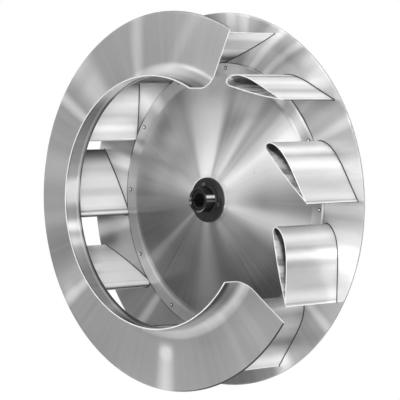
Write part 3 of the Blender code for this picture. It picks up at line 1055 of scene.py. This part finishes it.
def turned_steel_painted_light(name, tone, zones, bands, rays_gain, turn_bands=()):
    """Sheet finished on a lathe with fine rings, and painted light: painted shade and highlights in bands
    by height, and painted highlights, reflections and shade as streaks between radii.
    """
    material, tree, shader = new_shader(name, TURNED_METALLIC, TURNED_ROUGHNESS)
    direction, radius = wheel_place(tree)
    place = object_place(tree)
    height = against_axis(tree, place, "Y")
    value = all_bands(tree, tone, height, bands)
    if turn_bands:
        value = all_bands(tree, value, throat_level(tree, direction, height), turn_bands)
    for start, end, fade, streaks, *more in zones:
        offset, lean = more or (0.0, 0.0)
        total = all_streaks(tree, leaned(tree, direction, radius, lean), offset, streaks)
        total = maths(tree, "MULTIPLY", total, window(tree, radius, start, end, fade))
        value = maths(tree, "ADD", value, total)
    rings_at = tree.nodes.new("ShaderNodeCombineXYZ")
    tree.links.new(maths(tree, "MULTIPLY", radius, RING_SCALE), rings_at.inputs["Y"])
    rings = noise(tree, vector_maths(tree, "ADD", direction, rings_at.outputs["Vector"]), 1.0,
                  *FINE_NOISE)
    cloud = noise(tree, place, CLOUD_SCALE)
    rays = spread(tree, noise(tree, direction, RAY_SCALE), *USUAL, -rays_gain, rays_gain)
    drift = spread(tree, noise(tree, place, DRIFT_SCALE), *DRIFT)
    value = maths(tree, "ADD", value, spread(tree, rings, *WIDE, -RING_GAIN, RING_GAIN),
                  maths(tree, "MULTIPLY", rays, drift),
                  spread(tree, cloud, *USUAL, -CLOUD_GAIN, CLOUD_GAIN), specks(tree, place))
    rough = maths(tree, "ADD", TURNED_ROUGHNESS, spread(tree, cloud, *WIDE, -0.03, 0.05),
                  spread(tree, rings, *WIDE, -0.01, 0.01))
    set_finish(tree, shader, maths(tree, "MAXIMUM", value, TURNED_DARKEST), rough)
    tangent = tree.nodes.new("ShaderNodeTangent")
    tangent.direction_type = "RADIAL"
    tangent.axis = "Y"
    tree.links.new(tangent.outputs["Tangent"], shader.inputs["Tangent"])
    shader.inputs["Anisotropic"].default_value = TURNED_ANISOTROPY
    shader.inputs["Anisotropic Rotation"].default_value = QUARTER_TURN
    return material


def blade_steel_painted_light(name, tone, metallic, bands, nose_bands, shade):
    """Rolled sheet of a blade: grain, and painted highlights and painted shade as soft light and dark
    bands, all along the wheel's axis.
    """
    material, tree, shader = new_shader(name, metallic, BLADE_ROUGHNESS)
    place = object_place(tree)
    chord = against_axis(tree, place, "X")
    grain = noise(tree, place, GRAIN_SCALE, *FINE_NOISE)
    cloud = noise(tree, place, SHEEN_SCALE)
    value = maths(tree, "ADD", spread(tree, grain, *WIDE, -GRAIN_GAIN, GRAIN_GAIN), tone,
                  spread(tree, cloud, *USUAL, -SHEEN_GAIN, SHEEN_GAIN))
    value = all_bands(tree, value, chord, bands)
    value = all_bands(tree, value, axis_place(tree, place, "Z"), nose_bands)
    if shade:
        reach, fall, fade, gain = shade
        depth = maths(tree, "ADD", axis_place(tree, place, "Y"), BLADE_SPAN,
                      maths(tree, "MULTIPLY", chord, fall))
        value = maths(tree, "ADD", value,
                      spread(tree, depth, reach - fade, reach + fade, gain, 0.0, smooth=True))
    rough = maths(tree, "ADD", spread(tree, cloud, *WIDE, -0.04, 0.06), BLADE_ROUGHNESS)
    set_finish(tree, shader, spread(tree, value, BLADE_DARKEST, 1.0, BLADE_DARKEST, 1.0), rough)
    bump(tree, shader, grain, GRAIN_DEPTH)
    return material


def hollow_steel_painted_shade(name, dark, depths, lifts=(1.0, 1.0)):
    """The inside of a blade: mottled, with painted shade past a depth that is less where the hollow is
    low.

    Lifts multiply that depth, the first on the belly and the second between the crown and the nose.
    """
    material, tree, shader = new_shader(name)
    place = object_place(tree)
    mottle = noise(tree, place, MOTTLE_SCALE, 1.0)
    depth = maths(tree, "ADD", axis_place(tree, place, "Y"), BLADE_SPAN)
    chord = against_axis(tree, place, "X")
    crown = spread(tree, chord, *CROWN_REACH, 1.0, lifts[1])
    lift = spread(tree, axis_place(tree, place, "Z"), *BELLY_REACH, lifts[0], crown)
    room = maths(tree, "MULTIPLY", spread(tree, chord, *TAIL_ROOM), spread(tree, chord, *NOSE_ROOM), lift)
    # Painted shade: darker deeper in the hollow
    under = spread(tree, maths(tree, "DIVIDE", depth, room), *depths, 1.0, dark, smooth=True)
    value = maths(tree, "MULTIPLY", spread(tree, mottle, *MOTTLE), under)
    set_finish(tree, shader, value, spread(tree, mottle, *WIDE, 0.35, 0.5))
    return material


def cast_iron(name, tone, painted_glints, specular):
    """Black casting: fine grain, with painted highlights and glints between two heights and two radii."""
    material, tree, shader = new_shader(name)
    shader.inputs["Specular IOR Level"].default_value = specular
    place = object_place(tree)
    direction, radius = wheel_place(tree)
    height = against_axis(tree, place, "Y")
    pits = noise(tree, place, PIT_SCALE, *FINE_NOISE)
    cloud = noise(tree, place, CASTING_SCALE, *FINE_NOISE)
    value = maths(tree, "ADD", spread(tree, cloud, 0.3, 0.75, 0.0, tone), tone)
    for low, high, start, end, streaks in painted_glints:
        painted_glint = maths(tree, "MULTIPLY", window(tree, height, low, high, HEIGHT_FADE),
                      window(tree, radius, start, end, RADIUS_FADE),
                      all_streaks(tree, direction, 0.0, streaks))
        value = maths(tree, "ADD", value, painted_glint)
    set_finish(tree, shader, maths(tree, "MAXIMUM", value, IRON_DARKEST),
               spread(tree, cloud, *USUAL, 0.32, 0.46))
    bump(tree, shader, pits, PIT_DEPTH)
    return material


def plain_steel(name, tone, roughness, scale, metallic):
    """Small steel parts: a mottled tone and finish."""
    material, tree, shader = new_shader(name, metallic, roughness)
    cloud = noise(tree, object_place(tree), scale, *FINE_NOISE)
    set_finish(tree, shader, spread(tree, cloud, *USUAL, tone * 0.9, tone * 1.08),
               spread(tree, cloud, *USUAL, roughness - 0.05, roughness + 0.07))
    bump(tree, shader, cloud, PLAIN_DEPTH)
    return material


def from_wheel(azimuth, elevation):
    """The direction from the wheel at this azimuth and elevation; 0, 0 is in front of the inlet."""
    around = math.radians(azimuth)
    above = math.radians(elevation)
    return Vector((math.sin(around) * math.cos(above), -math.cos(around) * math.cos(above),
                   math.sin(above)))


def add_camera():
    data = bpy.data.cameras.new("photo_camera")
    data.lens = CAMERA_LENS
    camera = new_object("photo_camera", data)
    camera.location = from_wheel(CAMERA_AZIMUTH, CAMERA_ELEVATION) * CAMERA_DISTANCE
    look = (Vector(CAMERA_AIM) - camera.location).to_track_quat("-Z", "Y").to_matrix()
    camera.rotation_euler = (look @ Matrix.Rotation(math.radians(CAMERA_ROLL), 3, "Z")).to_euler()
    bpy.context.scene.camera = camera


def add_softbox(name, azimuth, elevation, side, power):
    """A soft square light aimed at the wheel."""
    data = bpy.data.lights.new(name, "AREA")
    data.size = side
    data.energy = power
    light = new_object(name, data)
    direction = from_wheel(azimuth, elevation)
    light.location = direction * SOFTBOX_DISTANCE
    light.rotation_euler = (-direction).to_track_quat("-Z", "Y").to_euler()


def add_world():
    """White where the camera looks past the wheel, and a grey room, darker below, for all else."""
    world = bpy.data.worlds.new("studio")
    world.use_nodes = True
    bpy.context.scene.world = world
    tree = world.node_tree
    up = axis_place(tree, tree.nodes.new("ShaderNodeTexCoord").outputs["Generated"], "Z")
    camera_ray = tree.nodes.new("ShaderNodeLightPath").outputs["Is Camera Ray"]
    tone = spread(tree, camera_ray, 0.0, 1.0, spread(tree, up, *ROOM, smooth=True), 1.0)
    tree.links.new(grey(tree, tone), tree.nodes["Background"].inputs["Color"])


def add_floor():
    """A round pale floor below the wheel."""
    bm = bmesh.new()
    bmesh.ops.create_circle(bm, cap_ends=True, segments=FLOOR_SIDES, radius=FLOOR_RADIUS)
    floor = new_object("studio_floor", finished_mesh("studio_floor", bm))
    floor.location.z = FLOOR_LEVEL
    material, _, shader = new_shader("pale_floor", roughness=FLOOR_ROUGHNESS)
    shader.inputs["Base Color"].default_value = FLOOR_COLOUR
    floor.data.materials.append(material)


bpy.context.scene.view_settings.view_transform = "Standard"
add_camera()
add_world()
add_floor()
for box in SOFTBOXES:
    add_softbox(*box)

# Turned finishes: tone, zones of painted light, bands of painted light and shade by height, gain of the
# fine rays
plate_steel = turned_steel_painted_light("plate_steel", 0.53, PLATE_PAINTED_LIGHT, [], 0.04)
disc_steel = turned_steel_painted_light("disc_steel", 0.22, DISC_PAINTED_LIGHT, [], 0.03)
shroud_steel = turned_steel_painted_light("shroud_steel", 0.5, SHROUD_PAINTED_LIGHT, OUTER_LIGHT_AND_SHADE, 0.03)
throat_steel = turned_steel_painted_light("throat_steel", 0.5, THROAT_PAINTED_LIGHT, THROAT_SHADE_BANDS, 0.03, TURN_LIGHT_AND_SHADE)
inside_steel = hollow_steel_painted_shade("inside_steel", 0.1, (0.009, 0.022))
# Plain finishes: tone, roughness, scale of the mottling, metallic share
plate_edge = plain_steel("plate_edge", 0.3, 0.6, 120.0, 0.0)
cut_edge = plain_steel("cut_edge", 0.62, 0.5, 120.0, 0.0)
# Painted shade on the shroud's outer rim edge
shaded_rim_edge = plain_steel("shaded_rim_edge", 0.04, 0.5, 120.0, 0.3)
# Painted shade for the end faces of some blades' hems
hem_shade_steel = plain_steel("hem_shade_steel", 0.08, 0.5, 120.0, 0.0)
weld_steel = plain_steel("weld_steel", 0.05, 0.45, 400.0, 0.5)
rivet_steel = plain_steel("rivet_steel", 0.6, 0.35, 300.0, 0.4)
rivet_seam = plain_steel("rivet_seam", 0.05, 0.5, 300.0, 0.4)
bolt_steel = plain_steel("bolt_steel", 0.16, 0.3, 300.0, 1.0)

# Black finishes: tone, painted glints, specular level
hub_iron = cast_iron("hub_iron", 0.01, HUB_PAINTED_GLINTS, 0.3)
bushing_steel = cast_iron("bushing_steel", 0.009, SLEEVE_PAINTED_GLINTS, 0.15)

build_back_plate()
build_centre_disc()
build_front_shroud()
build_blades()
build_hub()
build_bushing()
build_rivets()
build_bolts()
